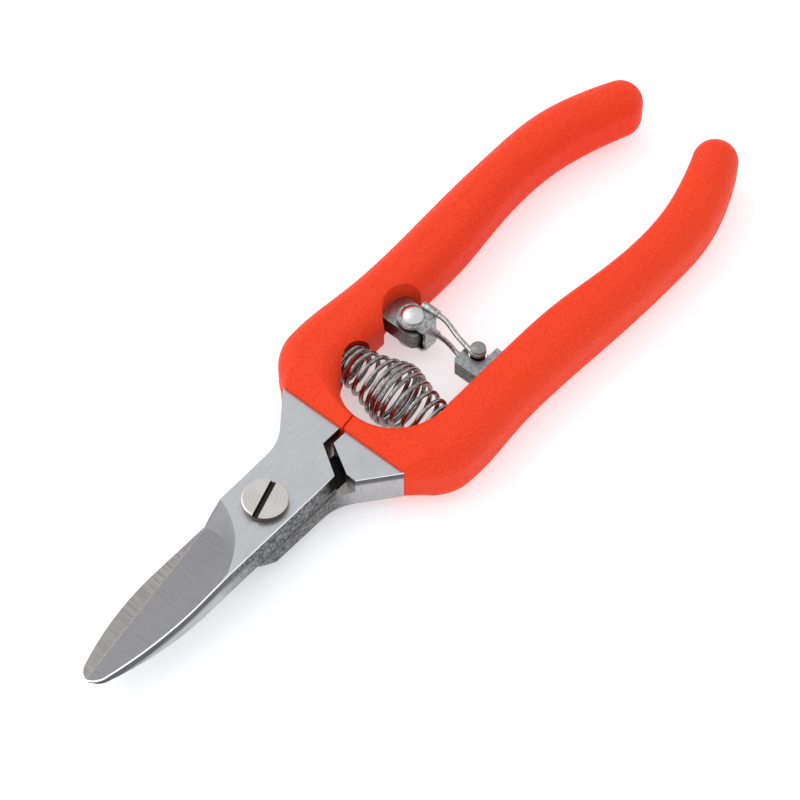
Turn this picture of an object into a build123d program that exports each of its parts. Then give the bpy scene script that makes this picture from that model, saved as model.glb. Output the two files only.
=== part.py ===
"""Floral snips with dipped grips, a barrel spring between the handles and a wire latch.

Frame, in millimetres: the snips lie flat. The origin is on the pivot axis, on the surface they
rest on. +X runs along the snips towards the ends of the handles and the blade tips are at -X.
+Y is on the side of the upper half's handle. +Z is up.

The snips are drawn closed and latched. The two forgings are the same shape: the lower one is
the upper one turned over, half a turn about the long axis.
"""
from build123d import *
from math import asin, cos, pi, radians, sin
import os

os.makedirs("parts", exist_ok=True)

# heights
grip_thickness = 13.0
grip_base = 0.45
mid_height = grip_base + grip_thickness / 2
forging_thickness = 7.8
top_height = mid_height + forging_thickness / 2
base_height = mid_height - forging_thickness / 2
lap_clearance = 0.03
lap_height = mid_height + lap_clearance

# the front of the grips, and the slots between the two halves
grip_front = 22.1
seam_half_gap = 0.2
lap_half_gap = 0.75

# pivot
bore_radius = 2.85
screw_shank_radius = 2.8
screw_head_radius = 4.5
screw_head_height = 1.5

# blade
heel = (-8.2, 6.9)
tip = (-48.3, 0.6)
bevel_angle = 19
edge_land = 0.15
spine_draft = 15

# spring
spring_x = 37.2
spring_end = 12.55
spring_wire_radius = 0.47
spring_end_radius = 3.8
spring_middle_radius = 6.45
spring_turns = 13.5
spring_root = -spring_end + 0.15
spring_tip = spring_end - 0.8

# latch: the rivet is on the upper half, the pin rests in the hook of the lower half
rivet = (52.1, 8.1)
pin = (54.1, -7.0)
latch_turn_per_opening = 3.6
lug_half_height = 1.9
grip_scoop_radius = 6.1
tang_scoop_radius = 7.3
plate_inner_half_height = 2.5
plate_thickness = 0.7
wire_radius = 0.55
curl_radius = 0.9
curl_offset = 3.35
pin_radius = 1.55
pin_clearance = 0.3
eye_radius = 1.15
curl_height = plate_inner_half_height + plate_thickness + 0.15
eye_height = 2.8


def turned_over(shape):
    """The same shape after half a turn about the long axis at mid height."""
    return shape.rotate(Axis((0, 0, mid_height), (1, 0, 0)), 180)


def turned(point, angle, centre=(0, 0)):
    """A plan point turned about a centre, by an angle in degrees."""
    c = cos(radians(angle))
    s = sin(radians(angle))
    dx = point[0] - centre[0]
    dy = point[1] - centre[1]
    return (centre[0] + c * dx - s * dy, centre[1] + s * dx + c * dy)


# ---------------------------------------------------------------- handle outline
def handle_inner_points(inset):
    """Inner side of the upper handle, from the spring loop to the end."""
    points = [(48, 10.8), (61, 10.7), (73, 11.2), (83, 12.5), (94, 13.4), (105, 12.8), (114, 10.7)]
    return [(x, y + inset) for x, y in points]


def handle_outer_points(inset):
    """Outer side of the upper handle, from the end back to the shoulder."""
    points = [(118, 20.1), (108, 22.9), (96, 23.6), (80, 23.3), (62, 22.4), (48, 22.5), (38, 23.3)]
    return [(x, y - inset) for x, y in points]


loop_centre = (37.3, 0)
loop_radius = 10.75
end_centre = (123.6, 12.4)
end_radius = 4.8


def end_point(angle, inset):
    """A point on the round end of the upper handle."""
    r = end_radius - inset
    return (end_centre[0] + r * cos(radians(angle)), end_centre[1] + r * sin(radians(angle)))


# ---------------------------------------------------------------- forging
# Full-thickness part: the shank from its shoulder into the grip, then the tang.
tang_inset = 2.2
with BuildPart() as tang:
    with BuildSketch(Plane.XY.offset(base_height)):
        with BuildLine():
            face_radius = loop_radius + tang_inset
            loop_top = (loop_centre[0], face_radius)
            loop_side = (loop_centre[0] - face_radius * cos(radians(45)), face_radius * sin(radians(45)))
            Spline([loop_top] + handle_inner_points(tang_inset) + [end_point(243, tang_inset)])
            ThreePointArc(end_point(243, tang_inset), end_point(333, tang_inset), end_point(63, tang_inset))
            Spline([end_point(63, tang_inset)] + handle_outer_points(tang_inset) + [(30, 20.3)])
            Line((30, 20.3), (24.5, 15.0))
            Line((24.5, 15.0), (24.3, lap_half_gap))
            ThreePointArc((24.3, lap_half_gap), loop_side, loop_top)
        make_face()
    extrude(amount=forging_thickness)

with BuildPart() as shank:
    with BuildSketch(Plane.XY.offset(base_height)):
        with BuildLine():
            Polyline((25.0, lap_half_gap), (18.6, lap_half_gap), (14.8, 7.4), (14.8, 9.55),
                     (22.1, 15.4), (25.0, 15.4), (25.0, lap_half_gap))
        make_face()
    extrude(amount=forging_thickness)

# Lapped half of the thickness: pivot eye and blade, on the upper side of the mid plane.
spine_start = (-46.4, -2.7)
spine_full = (-22.0, -6.8)
lap_corner = (12.8, -6.3)
with BuildPart() as blade:
    with BuildSketch(Plane.XY.offset(lap_height)):
        with BuildLine():
            Line((25.0, 15.4), (22.1, 15.4))
            Line((22.1, 15.4), (14.6, 9.4))
            ThreePointArc((14.6, 9.4), (11.6, 7.7), (8.0, 7.1))
            Line((8.0, 7.1), heel)
            Line(heel, tip)
            ThreePointArc(tip, (-47.95, -1.1), spine_start)
            ThreePointArc(spine_start, (-36.0, -5.6), spine_full)
            Line(spine_full, (12.5, -6.8))
            Line((12.5, -6.8), lap_corner)
            Line(lap_corner, (17.2, lap_half_gap))
            Line((17.2, lap_half_gap), (25.0, lap_half_gap))
            Line((25.0, lap_half_gap), (25.0, 15.4))
        make_face()
    extrude(amount=top_height - lap_height)

# The blade's outline with draft on the spine side only.
with BuildPart() as drafted_spine:
    with BuildSketch(Plane.XY.offset(lap_height)):
        with BuildLine():
            ThreePointArc(tip, (-47.95, -1.1), spine_start)
            ThreePointArc(spine_start, (-36.0, -5.6), spine_full)
            Line(spine_full, (30.0, -6.8))
            Polyline((30.0, -6.8), (30.0, 30.0), (-55.0, 30.0), (-49.0, 5.0), tip)
        make_face()
    extrude(amount=top_height - lap_height, taper=spine_draft)

# Everything above the ground bevel, as far as the run-out of the grinding wheel.
edge_length = ((tip[0] - heel[0]) ** 2 + (tip[1] - heel[1]) ** 2) ** 0.5
edge_along = Vector((tip[0] - heel[0]) / edge_length, (tip[1] - heel[1]) / edge_length, 0)
edge_start = Vector(heel[0], heel[1], lap_height + edge_land) - edge_along * 40
edge_plane = Plane(origin=edge_start, x_dir=Vector(-edge_along.Y, edge_along.X, 0), z_dir=edge_along)
with BuildPart() as above_bevel:
    with BuildSketch(edge_plane):
        with BuildLine():
            Polyline((-10, 0), (0, 0), (40 * cos(radians(bevel_angle)), 40 * sin(radians(bevel_angle))),
                     (40 * cos(radians(bevel_angle)), 30), (-10, 30), (-10, 0))
        make_face()
    extrude(amount=110)

with BuildPart() as ground_area:
    with BuildSketch(Plane.XY.offset(top_height + 0.1)):
        with BuildLine():
            Line((-60, 12), (-4.0, 12))
            ThreePointArc((-4.0, 12), (-5.6, 4.6), (-9.2, -1.0))
            ThreePointArc((-9.2, -1.0), (-13.6, -4.2), (-22.0, -7.0))
            Polyline((-22.0, -7.0), (-24.0, -14.0), (-60, -14.0), (-60, 12))
        make_face()
    extrude(amount=-4.4, taper=50)

with BuildPart() as bevel_cut:
    add(above_bevel.part)
    add(ground_area.part, mode=Mode.INTERSECT)

with BuildPart() as forging:
    add(blade.part)
    add(drafted_spine.part, mode=Mode.INTERSECT)
    add(bevel_cut.part, mode=Mode.SUBTRACT)
    add(shank.part)
    add(tang.part)

# ---------------------------------------------------------------- lugs
lug_base = mid_height - lug_half_height
with BuildPart() as rivet_lug:
    with BuildSketch(Plane.XY.offset(lug_base)):
        with BuildLine():
            Polyline((48.7, 17.0), (48.7, 5.6), (49.5, 4.8), (rivet[0], 4.8))
            RadiusArc((rivet[0], 4.8), (rivet[0] + 3.3, rivet[1]), -3.3)
            Polyline((rivet[0] + 3.3, rivet[1]), (56.4, 17.0), (48.7, 17.0))
        make_face()
    extrude(amount=2 * lug_half_height)
    with Locations((rivet[0], rivet[1], mid_height)):
        Cylinder(1.2, 2 * lug_half_height + 1, mode=Mode.SUBTRACT)


pocket_radius = 5.1
with BuildPart() as spring_pocket:
    with Locations(Plane((spring_x, spring_end + 0.4, mid_height), z_dir=(0, -1, 0))):
        Cylinder(pocket_radius, 8, align=(Align.CENTER, Align.CENTER, Align.MIN))


def pin_position(opening):
    """Where the latch pin is, seen from the lower half, when the handles are open this far."""
    swung = turned(pin, latch_turn_per_opening * opening, rivet)
    return turned(swung, opening)


with BuildPart() as hook_lug:
    with BuildSketch(Plane.XY.offset(lug_base)):
        with BuildLine():
            Polyline((49.6, -14.0), (49.6, -4.9), (50.3, -4.2), (55.2, -4.2), (55.2, -8.9),
                     (57.6, -8.9), (57.6, -14.0), (49.6, -14.0))
        make_face()
        for opening in (0.0, 0.5, 1.0, 1.5, 2.0, 2.5, 3.0, 3.5):
            with Locations(pin_position(opening)):
                Circle(pin_radius + pin_clearance, mode=Mode.SUBTRACT)
    extrude(amount=2 * lug_half_height)
    # the path of the pin can leave a loose crumb beside the hook, so only the hook is kept
    nose = hook_lug.part.solids().sort_by(SortBy.VOLUME)[-1]

# ---------------------------------------------------------------- the two forged halves
with BuildPart() as upper_blade:
    add(forging.part)
    # the tang is scooped around the rivet, so that the grip can line the scoop
    with Locations((rivet[0], rivet[1], mid_height)):
        Cylinder(tang_scoop_radius, 20, mode=Mode.SUBTRACT)
    add(rivet_lug.part)
    add(spring_pocket.part, mode=Mode.SUBTRACT)
    with Locations((0, 0, mid_height)):
        Cylinder(bore_radius, 20, mode=Mode.SUBTRACT)
upper_blade.part.label = "upper_blade"

with BuildPart() as lower_blade:
    add(turned_over(forging.part))
    add(nose)
    add(turned_over(spring_pocket.part), mode=Mode.SUBTRACT)
    with Locations((0, 0, mid_height)):
        Cylinder(bore_radius, 20, mode=Mode.SUBTRACT)
lower_blade.part.label = "lower_blade"

# ---------------------------------------------------------------- dipped grips
# Both grips are drawn as one horseshoe with rounded edges and parted at the seam.
front_edge = 15.9
with BuildPart() as horseshoe:
    with BuildSketch(Plane.XY.offset(grip_base)):
        with BuildLine():
            ThreePointArc((loop_centre[0], -loop_radius), (loop_centre[0] - loop_radius, 0),
                          (loop_centre[0], loop_radius))
            for side in (1, -1):
                inner = [(loop_centre[0], loop_radius)] + handle_inner_points(0) + [end_point(243, 0)]
                outer = [end_point(63, 0)] + handle_outer_points(0) + [(31.5, 23.1)]
                Spline([(x, side * y) for x, y in inner])
                ThreePointArc(*[(x, side * y) for x, y in (end_point(243, 0), end_point(333, 0),
                                                           end_point(63, 0))])
                Spline([(x, side * y) for x, y in outer])
                ThreePointArc((31.5, side * 23.1), (27.1, side * 21.2), (24.3, side * 18.2))
                Line((24.3, side * 18.2), (grip_front, side * front_edge))
            Line((grip_front, front_edge), (grip_front, -front_edge))
        make_face()
    extrude(amount=grip_thickness)
    rims = horseshoe.faces().filter_by(Axis.Z).edges()
    fillet([rim for rim in rims if rim.center().X > grip_front + 0.01], radius=4.6)
    # the dip thins out towards the steel at the front, above and below
    grip_top = grip_base + grip_thickness
    with BuildSketch(Plane.XZ.offset(-30)):
        with BuildLine():
            Polyline((20, 20), (20, top_height + 0.4), (grip_front, top_height + 0.65),
                     (27.5, grip_top), (34, grip_top + 1), (20, 20))
        make_face()
        with BuildLine():
            Polyline((20, -7), (20, base_height - 0.4), (grip_front, base_height - 0.65),
                     (27.5, grip_base), (34, grip_base - 1), (20, -7))
        make_face()
    extrude(amount=60, mode=Mode.SUBTRACT)

with BuildPart() as upper_grip:
    add(horseshoe.part)
    with Locations((70, seam_half_gap, mid_height)):
        Box(150, 60, 40, align=(Align.CENTER, Align.MIN, Align.CENTER), mode=Mode.INTERSECT)
    add(upper_blade.part, mode=Mode.SUBTRACT)
    add(spring_pocket.part, mode=Mode.SUBTRACT)
    # scoop that leaves room for the latch to turn on its rivet
    with Locations((rivet[0], rivet[1], mid_height)):
        Cylinder(grip_scoop_radius, 30, mode=Mode.SUBTRACT)
upper_grip.part.label = "upper_grip"

with BuildPart() as lower_grip:
    add(horseshoe.part)
    with Locations((70, -seam_half_gap, mid_height)):
        Box(150, 60, 40, align=(Align.CENTER, Align.MAX, Align.CENTER), mode=Mode.INTERSECT)
    add(lower_blade.part, mode=Mode.SUBTRACT)
    add(turned_over(spring_pocket.part), mode=Mode.SUBTRACT)
lower_grip.part.label = "lower_grip"

# ---------------------------------------------------------------- pivot
slot_width = 1.2
slot_depth = 0.9
slot_angle = 18
head_base = top_height + 0.05
with BuildPart() as pivot_screw:
    with Locations((0, 0, head_base)):
        Cylinder(screw_head_radius, screw_head_height, align=(Align.CENTER, Align.CENTER, Align.MIN))
    fillet(pivot_screw.edges().group_by(Axis.Z)[-1], radius=0.3)
    with Locations((0, 0, head_base)):
        Cylinder(screw_shank_radius, head_base, align=(Align.CENTER, Align.CENTER, Align.MAX))
    chamfer(pivot_screw.edges().group_by(Axis.Z)[0], length=0.3)
    with Locations(Location((0, 0, head_base + screw_head_height), (0, 0, slot_angle))):
        Box(2 * screw_head_radius + 2, slot_width, 2 * slot_depth, mode=Mode.SUBTRACT)
pivot_screw.part.label = "pivot_screw"

nut_flats = 9.0
with BuildPart() as pivot_nut:
    with BuildSketch():
        RegularPolygon(nut_flats / 2, 6, major_radius=False)
        Circle(screw_shank_radius, mode=Mode.SUBTRACT)
    extrude(amount=base_height)
    with BuildSketch(Plane.XY):
        Circle(nut_flats / 2 - 0.1)
    extrude(amount=base_height, taper=-60, mode=Mode.INTERSECT)
pivot_nut.part.label = "pivot_nut"

# ---------------------------------------------------------------- spring
def spring_point(turn):
    """Centre of the wire after this many turns, from the lower half's seat to the upper half's."""
    along = turn / spring_turns
    radius = spring_end_radius + (spring_middle_radius - spring_end_radius) * sin(pi * along) ** 3
    # the turns lie close at both ends and in the middle, and are spread in between
    spread = along - 0.03 * sin(4 * pi * along)
    y = spring_root + (spring_tip - spring_root) * spread
    angle = 2 * pi * turn
    return (spring_x + radius * cos(angle), y, mid_height + radius * sin(angle))


points_per_turn = 8
with BuildPart() as spring:
    with BuildLine() as wire:
        Spline([spring_point(i / points_per_turn) for i in range(int(spring_turns * points_per_turn) + 1)])
    with BuildSketch(Plane(wire.line @ 0, z_dir=wire.line % 0)):
        Circle(spring_wire_radius)
    sweep(is_frenet=True)
spring.part.label = "spring"

# ---------------------------------------------------------------- latch
plate_outer_half_height = plate_inner_half_height + plate_thickness
web_outer = 3.6
web_inner = 4.3
curl_x = rivet[0] + curl_offset
curl_start = 4.3
with BuildPart() as latch_bracket:
    for side in (1, -1):
        with BuildSketch(Plane.XY.offset(mid_height + side * plate_inner_half_height)):
            with Locations(rivet):
                Circle(3.1)
            with BuildLine():
                Polyline((50.2, 7.6), (50.2, 4.2), (50.8, web_outer), (54.0, web_outer), (54.6, curl_start),
                         (curl_x + 0.4, curl_start), (curl_x + 0.4, rivet[1]), (50.2, 7.6))
            make_face()
        extrude(amount=side * plate_thickness)
        curl_plane = Plane((curl_x, curl_start, mid_height + side * curl_height), z_dir=(0, 1, 0))
        with Locations(curl_plane):
            Cylinder(curl_radius, rivet[1] - curl_start, align=(Align.CENTER, Align.CENTER, Align.MIN))
    with Locations((52.4, (web_inner + web_outer) / 2, mid_height)):
        Box(3.2, web_inner - web_outer, 2 * plate_outer_half_height)
    with Locations((rivet[0], rivet[1], mid_height)):
        Cylinder(1.1, 20, mode=Mode.SUBTRACT)
    for side in (1, -1):
        with Locations(Plane((curl_x, 0, mid_height + side * curl_height), z_dir=(0, 1, 0))):
            Cylinder(wire_radius, 40, mode=Mode.SUBTRACT)
latch_bracket.part.label = "latch_bracket"

rivet_head_radius = 2.4
dome_height = 1.15
dome_radius = (rivet_head_radius ** 2 + dome_height ** 2) / (2 * dome_height)
dome_half_angle = asin(rivet_head_radius / dome_radius) / 2
with BuildPart() as latch_rivet:
    with BuildSketch(Plane.XZ):
        with BuildLine():
            rim_height = plate_outer_half_height + 0.45
            head_top = rim_height + dome_height
            dome_side = (dome_radius * sin(dome_half_angle),
                         head_top - dome_radius * (1 - cos(dome_half_angle)))
            foot = -plate_outer_half_height - 1.1
            Polyline((0, head_top), (0, foot), (1.5, foot), (2.0, -plate_outer_half_height - 0.5),
                     (2.0, -plate_outer_half_height), (1.1, -plate_outer_half_height),
                     (1.1, plate_outer_half_height), (rivet_head_radius, plate_outer_half_height),
                     (rivet_head_radius, rim_height))
            ThreePointArc((rivet_head_radius, rim_height), dome_side, (0, head_top))
        make_face()
    revolve(axis=Axis.Z)
latch_rivet.part = latch_rivet.part.moved(Location((rivet[0], rivet[1], mid_height)))
latch_rivet.part.label = "latch_rivet"

neck_radius = eye_radius - wire_radius
neck_base = eye_height - wire_radius
neck_top = eye_height + wire_radius
with BuildPart() as latch_pin:
    with BuildSketch(Plane.XZ):
        with BuildLine():
            Polyline((0, neck_top + 0.85), (0, -neck_top - 0.65), (pin_radius, -neck_top - 0.65),
                     (pin_radius, -neck_top), (neck_radius, -neck_top), (neck_radius, -neck_base),
                     (pin_radius, -neck_base), (pin_radius, neck_base), (neck_radius, neck_base),
                     (neck_radius, neck_top), (pin_radius, neck_top), (pin_radius, neck_top + 0.5),
                     (0, neck_top + 0.85))
        make_face()
    revolve(axis=Axis.Z)
latch_pin.part = latch_pin.part.moved(Location((pin[0], pin[1], mid_height)))
latch_pin.part.label = "latch_pin"


def link(side):
    """One arm of the latch: straight through the curl, across to the pin and round its neck."""
    curl_z = mid_height + side * curl_height
    eye_z = mid_height + side * eye_height
    start = (curl_x, rivet[1] - 0.2, curl_z)
    bend = (curl_x, curl_start - 0.6, curl_z)
    touch_angle = 167
    touch = (pin[0] + eye_radius * cos(radians(touch_angle)),
             pin[1] + eye_radius * sin(radians(touch_angle)), eye_z)
    between = (curl_x + 0.4 * (touch[0] - curl_x) + 0.12, bend[1] + 0.4 * (touch[1] - bend[1]),
               eye_z + 0.2 * (curl_z - eye_z))
    with BuildPart() as arm:
        with BuildLine() as path:
            Line(start, bend)
            Spline(bend, between, touch,
                   tangents=((0, -1, 0), (-sin(radians(touch_angle)), cos(radians(touch_angle)), 0)))
            with BuildLine(Plane((pin[0], pin[1], eye_z))):
                CenterArc((0, 0), eye_radius, touch_angle, 263)
        with BuildSketch(Plane(start, z_dir=(0, -1, 0))):
            Circle(wire_radius)
        sweep(path=path.wire())
    return arm.part


with BuildPart() as latch_link_top:
    add(link(1))
latch_link_top.part.label = "latch_link_top"

with BuildPart() as latch_link_bottom:
    add(link(-1))
latch_link_bottom.part.label = "latch_link_bottom"

# ---------------------------------------------------------------- files
pieces = [upper_blade, lower_blade, upper_grip, lower_grip, pivot_screw, pivot_nut, spring,
          latch_bracket, latch_rivet, latch_pin, latch_link_top, latch_link_bottom]
for piece in pieces:
    export_step(piece.part, f"parts/{piece.part.label}.step")
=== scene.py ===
"""Looks of the floral snips: steel, dipped grips, spring and latch, on a pale table in soft light."""
from math import cos, pi, radians, sin, tan

import bpy
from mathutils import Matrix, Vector


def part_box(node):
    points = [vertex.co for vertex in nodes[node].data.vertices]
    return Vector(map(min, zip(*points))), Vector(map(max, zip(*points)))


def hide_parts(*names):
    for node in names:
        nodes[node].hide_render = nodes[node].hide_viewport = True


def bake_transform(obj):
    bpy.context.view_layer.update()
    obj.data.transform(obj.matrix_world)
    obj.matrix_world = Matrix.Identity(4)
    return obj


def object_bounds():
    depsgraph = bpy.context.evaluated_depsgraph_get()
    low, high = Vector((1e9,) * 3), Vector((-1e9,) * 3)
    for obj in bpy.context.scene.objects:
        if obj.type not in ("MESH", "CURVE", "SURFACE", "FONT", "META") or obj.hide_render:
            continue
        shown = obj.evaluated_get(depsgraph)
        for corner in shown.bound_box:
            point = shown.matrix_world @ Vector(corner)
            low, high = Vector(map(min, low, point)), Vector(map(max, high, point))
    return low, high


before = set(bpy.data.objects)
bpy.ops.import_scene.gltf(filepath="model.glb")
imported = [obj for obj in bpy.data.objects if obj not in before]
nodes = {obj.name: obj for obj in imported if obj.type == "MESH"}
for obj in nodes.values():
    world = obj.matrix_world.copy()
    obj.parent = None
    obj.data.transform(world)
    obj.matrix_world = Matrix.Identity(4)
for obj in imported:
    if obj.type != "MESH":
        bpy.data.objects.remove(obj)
cad_low, cad_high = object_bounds()
MM = 0.001


# ---------------------------------------------------------------- material helpers
def new_material(name, roughness, metallic=0.0, specular=0.5):
    """A material with one principled shader, its node tree and that shader."""
    material = bpy.data.materials.new(name)
    material.use_nodes = True
    tree = material.node_tree
    shader = tree.nodes["Principled BSDF"]
    shader.inputs["Roughness"].default_value = roughness
    shader.inputs["Metallic"].default_value = metallic
    shader.inputs["Specular IOR Level"].default_value = specular
    return material, tree, shader


def link(tree, output, target):
    """Joins an output socket to an input socket."""
    tree.links.new(output, target)


def place_coordinates(tree, scale, angle=0.0):
    """Object coordinates in metres, turned about Z and stretched."""
    coordinates = tree.nodes.new("ShaderNodeTexCoord")
    turn = tree.nodes.new("ShaderNodeMapping")
    turn.inputs["Rotation"].default_value = (0, 0, radians(angle))
    stretch = tree.nodes.new("ShaderNodeMapping")
    stretch.inputs["Scale"].default_value = scale
    link(tree, coordinates.outputs["Object"], turn.inputs["Vector"])
    link(tree, turn.outputs["Vector"], stretch.inputs["Vector"])
    return stretch.outputs["Vector"]


def noise_value(tree, vector, detail=3.0, roughness=0.6):
    """Smooth noise from 0 to 1; its size is set by how the vector is stretched."""
    node = tree.nodes.new("ShaderNodeTexNoise")
    node.inputs["Scale"].default_value = 1.0
    node.inputs["Detail"].default_value = detail
    node.inputs["Roughness"].default_value = roughness
    link(tree, vector, node.inputs["Vector"])
    return node.outputs["Fac"]


def remap(tree, value, low, high, out_low, out_high):
    """value between low and high becomes a number between out_low and out_high."""
    node = tree.nodes.new("ShaderNodeMapRange")
    node.inputs["From Min"].default_value = low
    node.inputs["From Max"].default_value = high
    node.inputs["To Min"].default_value = out_low
    node.inputs["To Max"].default_value = out_high
    link(tree, value, node.inputs["Value"])
    return node.outputs["Result"]


def math_node(tree, operation, first, second):
    """first and second are sockets or numbers."""
    node = tree.nodes.new("ShaderNodeMath")
    node.operation = operation
    for socket, value in zip(node.inputs, (first, second)):
        if isinstance(value, (int, float)):
            socket.default_value = value
        else:
            link(tree, value, socket)
    return node.outputs["Value"]


def mix_color(tree, factor, first, second):
    """first and second are colours or sockets."""
    node = tree.nodes.new("ShaderNodeMix")
    node.data_type = "RGBA"
    sockets = [s for s in node.inputs if s.type == "RGBA"]
    for socket, value in zip(sockets, (first, second)):
        if isinstance(value, tuple):
            socket.default_value = value + (1.0,)
        else:
            link(tree, value, socket)
    link(tree, factor, node.inputs["Factor"])
    return [s for s in node.outputs if s.type == "RGBA"][0]


def two_tone(tree, value, low, high, first, second):
    """The first colour where value is low, fading to the second where it is high."""
    return mix_color(tree, remap(tree, value, low, high, 0, 1), first, second)


def bump(tree, height, distance, strength=1.0, normal=None):
    """A normal raised by height times distance, on top of another normal if one is given."""
    node = tree.nodes.new("ShaderNodeBump")
    node.inputs["Strength"].default_value = strength
    node.inputs["Distance"].default_value = distance
    link(tree, height, node.inputs["Height"])
    if normal is not None:
        link(tree, normal, node.inputs["Normal"])
    return node.outputs["Normal"]


def upward(tree):
    """How far the surface faces up: 1 on a flat top, 0 on a wall, -1 below."""
    geometry = tree.nodes.new("ShaderNodeNewGeometry")
    split = tree.nodes.new("ShaderNodeSeparateXYZ")
    link(tree, geometry.outputs["True Normal"], split.inputs["Vector"])
    return split.outputs["Z"]


# ---------------------------------------------------------------- blade steel
steel_low, steel_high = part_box("upper_blade")
steel_top = steel_high.z
lap_height = (steel_low.z + steel_top) / 2
lap_allowance = 0.3 * MM
# the bevel: the cutting edge runs through the heel, at this many degrees from X
heel_x = -8.2 * MM
heel_y = 6.9 * MM
blade_edge_angle = 8.9
bevel_slope = tan(radians(19))
ground_end = -12.5 * MM
lap_mark_turn = 12
# stretches along X from the pivot: each pair is where a look fades in or out
forged_start = (-22 * MM, -8 * MM)
forged_end = (11 * MM, 15 * MM)
gap_start = (9.5 * MM, 11.5 * MM)
gap_end = (19.2 * MM, 19.8 * MM)
lug_start = (44 * MM, 46 * MM)
gap_half_width = 6.6 * MM
# depths below the top of the steel
gap_depth = 0.25 * MM
# the depths of the painted highlight line and the painted dark reflection band on the walls
painted_highlight_depths = (0.20 * MM, 0.36 * MM)
painted_dark_band_depths = (1.4 * MM, 2.2 * MM)
# heights of the bump
groove_depth = 0.02 * MM
pit_depth = 0.12 * MM


def blade_steel(name, edge_angle):
    """Forged steel: brushed flats, a duller ground bevel with cross lines, rough dark side walls, a
    painted highlight and a painted dark reflection band along the walls, painted shade on the grinding
    run-out, and painted shade with dark oil in the gap beside the lap.
    """
    material, tree, shader = new_material(name, 0.34, metallic=1.0)
    facing = upward(tree)
    flat = remap(tree, facing, 0.965, 0.990, 0.0, 1.0)
    level = remap(tree, facing, 0.45, 0.75, 0.0, 1.0)

    lengthwise = noise_value(tree, place_coordinates(tree, (220, 9000, 400)), detail=4)
    crosswise = noise_value(tree, place_coordinates(tree, (7000, 260, 400), edge_angle), detail=4)
    cloudy = noise_value(tree, place_coordinates(tree, (90, 90, 90)), detail=4)
    rough = noise_value(tree, place_coordinates(tree, (1500, 1500, 1500)), detail=6, roughness=0.7)
    place = tree.nodes.new("ShaderNodeSeparateXYZ")
    link(tree, place_coordinates(tree, (1, 1, 1)), place.inputs["Vector"])
    # as forged: the walls beside the pivot are left rough
    forged = math_node(tree, "MULTIPLY", remap(tree, place.outputs["X"], *forged_start, 0, 1),
                       remap(tree, place.outputs["X"], *forged_end, 1, 0))
    # the gap beside the lap is painted near black: painted shade of the deep gap, with dark oil and
    # dust
    in_gap = math_node(tree, "MULTIPLY", remap(tree, place.outputs["X"], *gap_start, 0, 1),
                       remap(tree, place.outputs["X"], *gap_end, 1, 0))
    aside_pivot = math_node(tree, "ABSOLUTE", place.outputs["Y"], 0.0)
    between = math_node(tree, "LESS_THAN", aside_pivot, gap_half_width)
    sunk = math_node(tree, "LESS_THAN", place.outputs["Z"], steel_top - gap_depth)
    grime_and_painted_shade = math_node(tree, "MULTIPLY", in_gap, math_node(tree, "MULTIPLY", between, sunk))

    flat_color = two_tone(tree, lengthwise, 0.3, 0.7, (0.50, 0.50, 0.50), (0.60, 0.60, 0.60))
    bevel_color = two_tone(tree, crosswise, 0.3, 0.7, (0.23, 0.222, 0.23), (0.29, 0.282, 0.29))
    # where the grinding wheel ran out, the steep facet gets painted shade, so it looks no brighter
    # than the bevel
    run_out_painted_shade = remap(tree, facing, 0.82, 0.92, 1, 0)
    bevel_color = mix_color(tree, run_out_painted_shade, bevel_color, (0.215, 0.21, 0.215))
    top_color = mix_color(tree, flat, bevel_color, flat_color)
    # the inner face of the other blade: beige, with cross marks from the grinding wheel
    lapped = math_node(tree, "LESS_THAN", place.outputs["Z"], lap_height + lap_allowance)
    mark_angle = edge_angle + lap_mark_turn
    marks = noise_value(tree, place_coordinates(tree, (2600, 120, 400), mark_angle), detail=3)
    inner_color = two_tone(tree, marks, 0.35, 0.65, (0.29, 0.275, 0.255), (0.40, 0.385, 0.36))
    top_color = mix_color(tree, lapped, top_color, inner_color)
    # the lugs of the latch: darker and mottled
    lug = remap(tree, place.outputs["X"], *lug_start, 0, 1)
    lug_color = two_tone(tree, rough, 0.35, 0.65, (0.24, 0.24, 0.24), (0.46, 0.455, 0.45))
    top_color = mix_color(tree, lug, top_color, lug_color)
    forged_color = two_tone(tree, rough, 0.35, 0.65, (0.025, 0.025, 0.025), (0.30, 0.30, 0.30))
    drawn_color = two_tone(tree, lengthwise, 0.3, 0.7, (0.40, 0.40, 0.41), (0.54, 0.54, 0.55))
    # the walls: a painted highlight line along the top edge, a painted dark reflection band under it,
    # the lighter drawn steel below
    ahead = math_node(tree, "SUBTRACT", heel_x, place.outputs["X"])
    aside = math_node(tree, "SUBTRACT", heel_y, place.outputs["Y"])
    from_edge = math_node(tree, "SUBTRACT",
                          math_node(tree, "MULTIPLY", aside, cos(radians(edge_angle))),
                          math_node(tree, "MULTIPLY", ahead, sin(radians(edge_angle))))
    bevel_rise = math_node(tree, "MULTIPLY", from_edge, bevel_slope)
    bevel_height = math_node(tree, "ADD", bevel_rise, lap_height)
    # behind the ground area the top is level, so the bevel there counts as out of reach
    level_part = math_node(tree, "GREATER_THAN", place.outputs["X"], ground_end)
    reachable_height = math_node(tree, "ADD", bevel_height, level_part)
    edge_height = math_node(tree, "MINIMUM", steel_top, reachable_height)
    depth = math_node(tree, "SUBTRACT", edge_height, place.outputs["Z"])
    # painted dark reflection band on the smooth walls
    painted_dark_band = remap(tree, depth, *painted_dark_band_depths, 0, 1)
    smooth_color = mix_color(tree, painted_dark_band, (0.10, 0.10, 0.105), drawn_color)
    wall_color = mix_color(tree, forged, smooth_color, forged_color)
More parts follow.
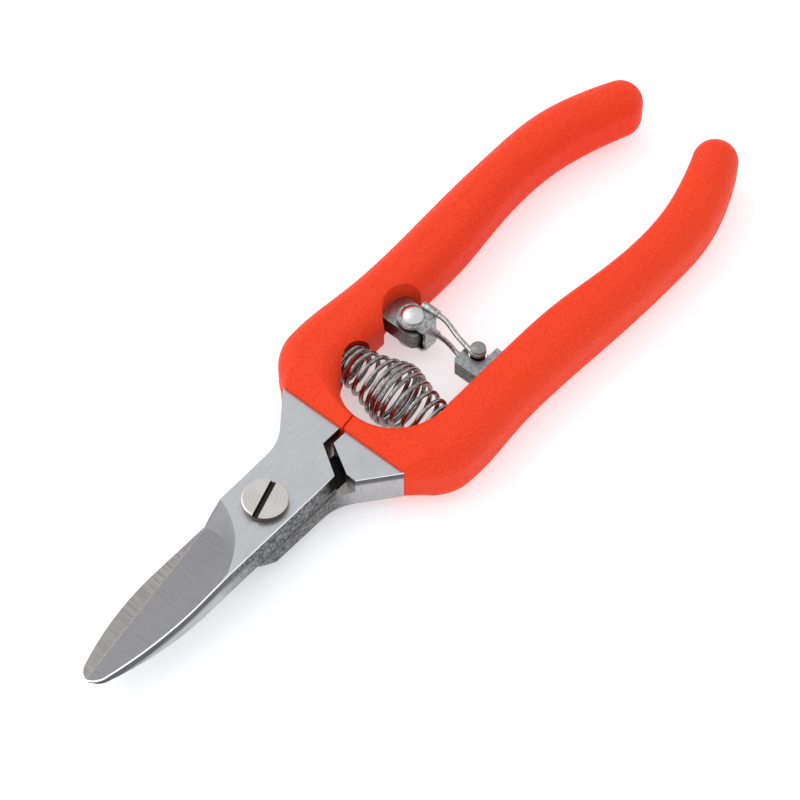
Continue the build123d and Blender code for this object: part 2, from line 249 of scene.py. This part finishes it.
    # painted highlight along the top edge of the walls
    painted_edge_highlight = remap(tree, depth, *painted_highlight_depths, 1, 0)
    wall_color = mix_color(tree, painted_edge_highlight, wall_color, (0.95, 0.95, 0.95))
    lug_wall = two_tone(tree, rough, 0.35, 0.65, (0.04, 0.04, 0.04), (0.20, 0.20, 0.20))
    wall_color = mix_color(tree, lug, wall_color, lug_wall)
    color = mix_color(tree, level, wall_color, top_color)
    stained = mix_color(tree, remap(tree, cloudy, 0.45, 0.75, 0, 0.25), color, (0.30, 0.28, 0.26))
    # painted shade and dark oil in the gap beside the lap: near black
    link(tree, mix_color(tree, grime_and_painted_shade, stained, (0.012, 0.011, 0.010)), shader.inputs["Base Color"])

    top_roughness = remap(tree, flat, 0, 1, 0.42, 0.33)
    wall_roughness = remap(tree, forged, 0, 1, 0.30, 0.50)
    roughness = tree.nodes.new("ShaderNodeMix")
    link(tree, level, roughness.inputs["Factor"])
    link(tree, wall_roughness, roughness.inputs["A"])
    link(tree, top_roughness, roughness.inputs["B"])
    variation = remap(tree, cloudy, 0.3, 0.7, -0.04, 0.05)
    varied = math_node(tree, "ADD", roughness.outputs["Result"], variation)
    link(tree, varied, shader.inputs["Roughness"])

    lines = math_node(tree, "ADD", math_node(tree, "MULTIPLY", lengthwise, flat),
                      math_node(tree, "MULTIPLY", crosswise, math_node(tree, "SUBTRACT", 1.0, flat)))
    grooves = math_node(tree, "MULTIPLY", lines, level)
    pits = math_node(tree, "MULTIPLY", math_node(tree, "MULTIPLY", rough, forged),
                     math_node(tree, "SUBTRACT", 1.0, level))
    grooved = bump(tree, grooves, groove_depth, 0.45)
    link(tree, bump(tree, pits, pit_depth, 0.5, grooved), shader.inputs["Normal"])
    return material


# ---------------------------------------------------------------- dipped grip
def grip_vinyl():
    """Matte orange-red vinyl with a fine pebbled skin, a little paler where it is rubbed."""
    material, tree, shader = new_material("grip_vinyl_fine", 0.55, specular=0.22)
    grain = noise_value(tree, place_coordinates(tree, (2400, 2400, 2400)), detail=4, roughness=0.75)
    pebble = tree.nodes.new("ShaderNodeTexVoronoi")
    pebble.inputs["Scale"].default_value = 1.0
    link(tree, place_coordinates(tree, (2100, 2100, 2100)), pebble.inputs["Vector"])
    cloudy = noise_value(tree, place_coordinates(tree, (120, 120, 120)), detail=3)
    speckle = two_tone(tree, grain, 0.3, 0.7, (0.82, 0.026, 0.003), (1.00, 0.070, 0.012))
    rubbed = remap(tree, cloudy, 0.35, 0.75, 0, 0.35)
    color = mix_color(tree, rubbed, speckle, (0.96, 0.062, 0.010))
    link(tree, color, shader.inputs["Base Color"])
    link(tree, remap(tree, cloudy, 0.3, 0.7, 0.50, 0.62), shader.inputs["Roughness"])
    skin = bump(tree, pebble.outputs["Distance"], 0.22 * MM, 0.5)
    link(tree, bump(tree, grain, 0.30 * MM, 0.7, skin), shader.inputs["Normal"])
    shader.inputs["Subsurface Weight"].default_value = 0.08
    shader.inputs["Subsurface Radius"].default_value = (1.2 * MM, 0.4 * MM, 0.2 * MM)
    return material


# ---------------------------------------------------------------- turned and drawn steel
fine_scratch_depth = 0.02 * MM
slot_reach = 4.3 * MM
# painted shade on turned steel: dark below the slot floor on the head's side, the shank and the nut,
# near black in the slot
below_slot_shade_color = (0.13, 0.11, 0.10)
slot_shade_color = (0.035, 0.030, 0.026)


def turned_steel(name, centre, light, dark, roughness, slot_floor=None):
    """Lathe-turned steel: fine rings about an upright axis.

    With slot_floor, whatever lies below that height is darkened with painted shade, darkest in the
    slot near the axis.
    """
    material, tree, shader = new_material(name, roughness, metallic=1.0)
    coordinates = tree.nodes.new("ShaderNodeTexCoord")
    offset = tree.nodes.new("ShaderNodeVectorMath")
    offset.operation = "SUBTRACT"
    offset.inputs[1].default_value = (centre[0], centre[1], 0)
    link(tree, coordinates.outputs["Object"], offset.inputs[0])
    split = tree.nodes.new("ShaderNodeSeparateXYZ")
    link(tree, offset.outputs["Vector"], split.inputs["Vector"])
    shader.inputs["Anisotropic"].default_value = 0.75
    tangent = tree.nodes.new("ShaderNodeTangent")
    tangent.direction_type = "RADIAL"
    tangent.axis = "Z"
    link(tree, tangent.outputs["Tangent"], shader.inputs["Tangent"])
    squared = math_node(tree, "ADD", math_node(tree, "POWER", split.outputs["X"], 2.0),
                        math_node(tree, "POWER", split.outputs["Y"], 2.0))
    radius = math_node(tree, "SQRT", squared, 0.0)
    join = tree.nodes.new("ShaderNodeCombineXYZ")
    link(tree, math_node(tree, "MULTIPLY", radius, 7000.0), join.inputs["X"])
    link(tree, math_node(tree, "MULTIPLY", split.outputs["Z"], 2500.0), join.inputs["Y"])
    rings = noise_value(tree, join.outputs["Vector"], detail=3)
    cloudy = noise_value(tree, place_coordinates(tree, (300, 300, 300)), detail=3)
    ringed = two_tone(tree, rings, 0.3, 0.7, dark, light)
    if slot_floor is not None:
        # painted shade below the slot floor, darkest in the slot
        sunk = math_node(tree, "LESS_THAN", split.outputs["Z"], slot_floor)
        inside = math_node(tree, "LESS_THAN", radius, slot_reach)
        in_slot = math_node(tree, "MULTIPLY", sunk, inside)
        ringed = mix_color(tree, sunk, ringed, below_slot_shade_color)
        ringed = mix_color(tree, in_slot, ringed, slot_shade_color)
    link(tree, ringed, shader.inputs["Base Color"])
    varied = remap(tree, cloudy, 0.3, 0.7, roughness - 0.05, roughness + 0.07)
    link(tree, varied, shader.inputs["Roughness"])
    link(tree, bump(tree, rings, fine_scratch_depth, 0.4), shader.inputs["Normal"])
    return material


def wire_steel(name, light, dark, roughness):
    """Drawn wire or pressed plate: small uneven patches and fine scratches."""
    material, tree, shader = new_material(name, roughness, metallic=1.0)
    patches = noise_value(tree, place_coordinates(tree, (1400, 1400, 1400)), detail=4)
    scratches = noise_value(tree, place_coordinates(tree, (900, 6000, 2500), 20), detail=3)
    link(tree, two_tone(tree, patches, 0.35, 0.65, dark, light), shader.inputs["Base Color"])
    varied = remap(tree, patches, 0.3, 0.7, roughness - 0.06, roughness + 0.08)
    link(tree, varied, shader.inputs["Roughness"])
    link(tree, bump(tree, scratches, fine_scratch_depth, 0.4), shader.inputs["Normal"])
    return material


# ---------------------------------------------------------------- CAD nodes that keep their shape
def dress(node, material):
    """Puts a material on a CAD node."""
    slots = nodes[node].data.materials
    slots.clear()
    slots.append(material)


def soften_edges(node, width):
    """Rounds the hard edges of a steel piece very slightly, so that they catch the light."""
    weld = nodes[node].modifiers.new("weld", "WELD")
    weld.merge_threshold = 0.002 * MM
    bevel = nodes[node].modifiers.new("edge", "BEVEL")
    bevel.width = width
    bevel.segments = 2
    bevel.limit_method = "ANGLE"
    bevel.angle_limit = radians(35)


rivet_low, rivet_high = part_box("latch_rivet")
rivet_centre = (rivet_low + rivet_high) / 2
pin_low, pin_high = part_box("latch_pin")
pin_centre = (pin_low + pin_high) / 2
screw_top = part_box("pivot_screw")[1].z
slot_height = screw_top - 0.35 * MM

grip_material = grip_vinyl()
latch_material = wire_steel("latch_plate_steel", (0.55, 0.54, 0.53), (0.22, 0.21, 0.21), 0.26)
link_material = wire_steel("latch_wire_steel", (0.50, 0.49, 0.48), (0.28, 0.27, 0.27), 0.24)
screw_material = turned_steel("screw_steel_turned", (0, 0), (0.80, 0.75, 0.70),
                              (0.50, 0.465, 0.43), 0.20, slot_floor=slot_height)
rivet_material = turned_steel("rivet_steel_turned", rivet_centre, (0.80, 0.80, 0.79),
                              (0.60, 0.60, 0.59), 0.38)
pin_material = turned_steel("pin_steel_turned", pin_centre, (0.42, 0.40, 0.39),
                            (0.16, 0.15, 0.15), 0.22)
spring_material = wire_steel("spring_wire_steel", (0.42, 0.40, 0.385), (0.16, 0.15, 0.145), 0.20)

for node in ("upper_blade", "lower_blade"):
    soften_edges(node, 0.22 * MM)
dress("upper_blade", blade_steel("blade_steel_upper", blade_edge_angle))
dress("lower_blade", blade_steel("blade_steel_lower", -blade_edge_angle))
dress("upper_grip", grip_material)
dress("lower_grip", grip_material)
dress("pivot_screw", screw_material)
# the nut lies below the slot floor, so it gets the painted shade too
dress("pivot_nut", screw_material)
dress("latch_bracket", latch_material)
dress("latch_rivet", rivet_material)
dress("latch_pin", pin_material)
dress("latch_link_top", link_material)
dress("latch_link_bottom", link_material)


# ---------------------------------------------------------------- spring
def tube_mesh(name, centres, radius, sides):
    """A closed tube of that radius along the centres."""
    vertices = []
    faces = []
    across = None
    last = len(centres) - 1
    for i, centre in enumerate(centres):
        along = (centres[min(i + 1, last)] - centres[max(i - 1, 0)]).normalized()
        if across is None:
            across = along.orthogonal().normalized()
        across = (across - along * across.dot(along)).normalized()
        other = along.cross(across)
        for k in range(sides):
            angle = 2 * pi * k / sides
            vertices.append(centre + radius * (cos(angle) * across + sin(angle) * other))
    for i in range(last):
        for k in range(sides):
            a = i * sides + k
            b = i * sides + (k + 1) % sides
            faces.append((a, b, b + sides, a + sides))
    faces.append(tuple(reversed(range(sides))))
    faces.append(tuple(range(last * sides, (last + 1) * sides)))
    mesh = bpy.data.meshes.new(name)
    mesh.from_pydata([tuple(v) for v in vertices], [], faces)
    for polygon in mesh.polygons:
        polygon.use_smooth = len(polygon.vertices) == 4
    return mesh


spring_low, spring_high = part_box("spring")
spring_centre = (spring_low + spring_high) / 2
wire_radius = 0.47 * MM
outer_radius = (spring_high.z - spring_low.z) / 2 - wire_radius
end_radius = 3.8 * MM
turns = 13.5
end_crowding = 0.03
steps_per_turn = 32
tube_sides = 16


def spring_point(turn):
    """Centre of the wire after this many turns, from the lower handle's seat."""
    along = turn / turns
    radius = end_radius + (outer_radius - end_radius) * sin(pi * along) ** 3
    spread = along - end_crowding * sin(4 * pi * along)
    length = spring_high.y - spring_low.y - 2 * wire_radius
    y = spring_low.y + wire_radius + length * spread
    angle = 2 * pi * turn
    return Vector((spring_centre.x + radius * cos(angle), y, spring_centre.z + radius * sin(angle)))


centres = [spring_point(i / steps_per_turn) for i in range(int(turns * steps_per_turn) + 1)]
coil = bpy.data.objects.new("spring_coil", tube_mesh("spring_coil", centres, wire_radius, tube_sides))
bpy.context.scene.collection.objects.link(coil)
coil.data.materials.append(spring_material)
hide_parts("spring")
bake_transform(coil)


# ---------------------------------------------------------------- table
def paper():
    """White matt paper, very slightly mottled, with a little glow like the overexposed photo's."""
    material, tree, shader = new_material("paper", 0.9, specular=0.2)
    shader.inputs["Emission Color"].default_value = (1, 1, 1, 1)
    shader.inputs["Emission Strength"].default_value = 0.42
    mottle = noise_value(tree, place_coordinates(tree, (40, 40, 40)), detail=3)
    color = mix_color(tree, mottle, (0.74, 0.745, 0.76), (0.77, 0.775, 0.785))
    link(tree, color, shader.inputs["Base Color"])
    fibres = noise_value(tree, place_coordinates(tree, (1500, 1500, 1500)), detail=3)
    link(tree, bump(tree, fibres, 0.03 * MM, 0.2), shader.inputs["Normal"])
    return material


reach = 3.0
table_corners = [(-reach, -reach, 0), (reach, -reach, 0), (reach, reach, 0), (-reach, reach, 0)]
table_mesh = bpy.data.meshes.new("table_top")
table_mesh.from_pydata(table_corners, [], [(0, 1, 2, 3)])
table_top = bpy.data.objects.new("table_top", table_mesh)
table_top.location.z = cad_low.z
bpy.context.scene.collection.objects.link(table_top)
table_mesh.materials.append(paper())

# ---------------------------------------------------------------- camera
elevation = radians(54)
yaw = radians(49.3)
distance = 0.5825
look_at = Vector((36.7 * MM, -1.86 * MM, 6.95 * MM))
forward = Vector((cos(elevation) * sin(yaw), cos(elevation) * cos(yaw), -sin(elevation)))
to_right = Vector((cos(yaw), -sin(yaw), 0))
to_back = Vector((forward.x, forward.y, 0)).normalized()
camera_data = bpy.data.cameras.new("camera")
camera_data.lens = 135
camera_data.sensor_width = 36
camera = bpy.data.objects.new("camera", camera_data)
camera.location = look_at - distance * forward
camera.rotation_euler = forward.to_track_quat("-Z", "Y").to_euler()
bpy.context.scene.collection.objects.link(camera)
bpy.context.scene.camera = camera


# ---------------------------------------------------------------- light
def area_light(name, right, back, up, width, height, power):
    """A soft box placed as the camera sees the scene, in metres from the middle, facing the middle."""
    data = bpy.data.lights.new(name, "AREA")
    data.shape = "RECTANGLE"
    data.size = width
    data.size_y = height
    data.energy = power
    light = bpy.data.objects.new(name, data)
    light.location = look_at + right * to_right + back * to_back + Vector((0, 0, up))
    light.rotation_euler = (look_at - light.location).to_track_quat("-Z", "Y").to_euler()
    bpy.context.scene.collection.objects.link(light)


area_light("key_light", -1.35, 0.35, 1.15, 1.9, 1.9, 14)

world = bpy.data.worlds.new("studio")
world.use_nodes = True
bpy.context.scene.world = world
background = world.node_tree.nodes["Background"]
background.inputs["Color"].default_value = (0.93, 0.96, 1.0, 1)
background.inputs["Strength"].default_value = 0.95
bpy.context.scene.view_settings.view_transform = "Standard"
